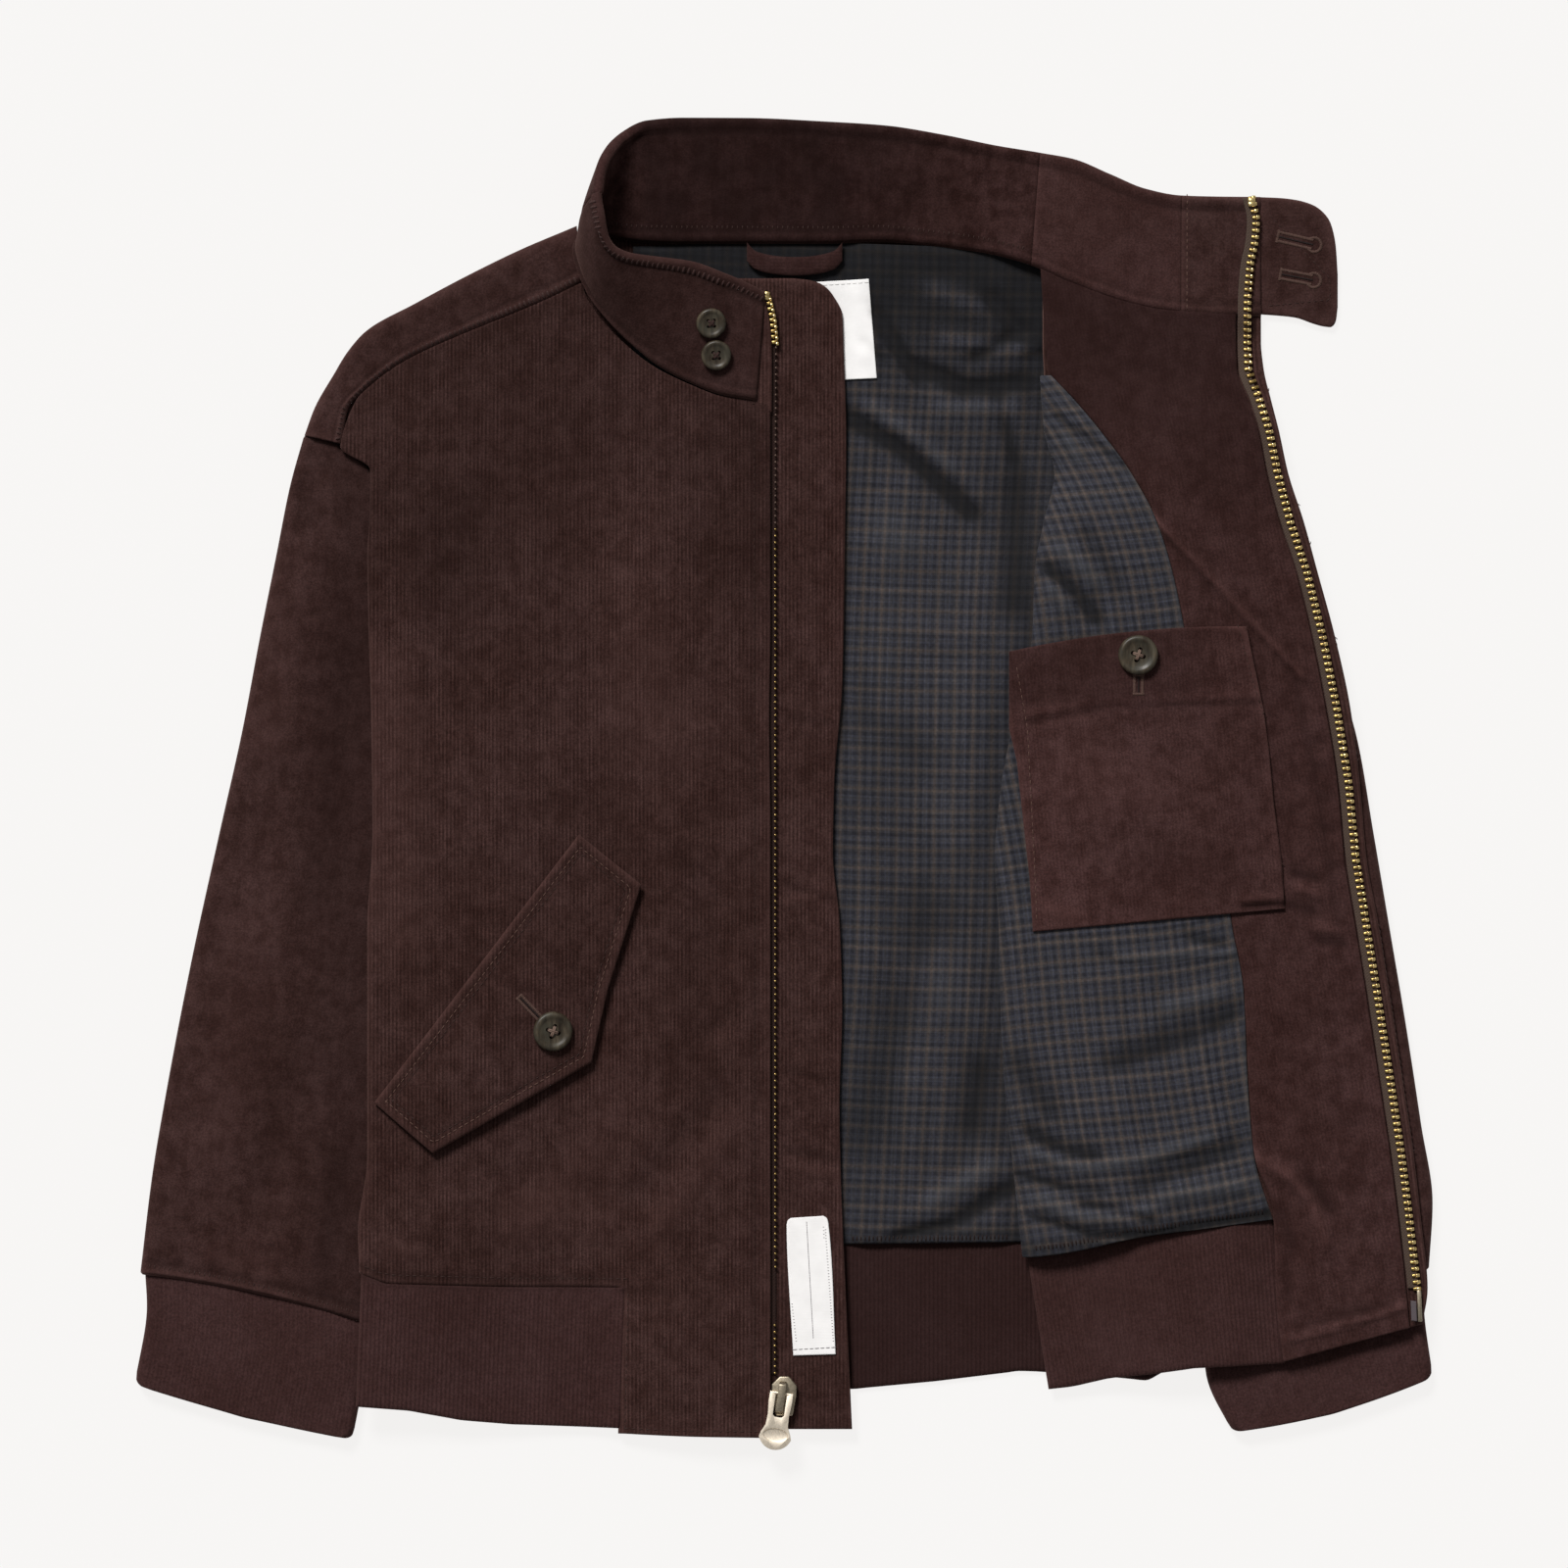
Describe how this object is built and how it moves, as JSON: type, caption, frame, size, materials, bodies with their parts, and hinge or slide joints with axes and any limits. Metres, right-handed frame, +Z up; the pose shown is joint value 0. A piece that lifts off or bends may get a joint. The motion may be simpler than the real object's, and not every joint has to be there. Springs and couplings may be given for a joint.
{
  "type": "harrington jacket",
  "caption": "Child's needlecord harrington jacket laid open on its back, with stand collar and tab, zip, slanted flap pocket, check lining and rib hem and cuffs.",
  "frame": {"origin": "centre of the jacket's outline on the surface that it lies on", "axes": "+X to the wearer's left, +Y from the hem to the collar, +Z up from the surface, out of the jacket's front"},
  "size_m": [0.49, 0.5022, 0.03],
  "materials": {
    "needlecord": "ribbed pile",
    "rib_knit": "rib knit",
    "check_lining": "plain weave",
    "label_tape": "woven tape",
    "zip_tape": "woven tape",
    "horn": "polished",
    "antique_brass": "antique",
    "nickel_silver": "satin"
  },
  "bodies": {
    "jacket": {"back_panel": "needlecord", "back_lining": "check_lining", "hem_rib_back": "rib_knit", "front_right": "needlecord", "shoulder_right": "needlecord", "hem_rib_right": "rib_knit", "sleeve_right": "needlecord", "sleeve_left": "needlecord", "cuff_right": "rib_knit", "cuff_left": "rib_knit", "wind_guard": "needlecord", "front_left": "needlecord", "lining_left": "check_lining", "facing_left": "needlecord", "hem_rib_left": "rib_knit", "inside_pocket": "needlecord", "collar_right": "needlecord", "collar_back": "needlecord", "collar_left": "needlecord", "collar_end_left": "needlecord", "collar_tab": "needlecord", "pocket_flap": "needlecord", "hanger_loop": "needlecord", "neck_label": "label_tape", "care_label": "label_tape", "zip_tape_right": "zip_tape", "zip_tape_left": "zip_tape", "zip_pin": "antique_brass", "zip_slider": "antique_brass", "button_flap": "horn", "button_inside": "horn", "button_collar_1": "horn", "button_collar_2": "horn"},
    "pull": {"zip_pull": "nickel_silver"}
  },
  "joints": [
    {"name": "pull_hinge", "type": "hinge", "parent": "jacket", "child": "pull", "pos_m": [-0.0009, -0.2296, 0.0103], "axis": [-0.9888, 0.1495, 0], "range_deg": [0, 150]}
  ]
}
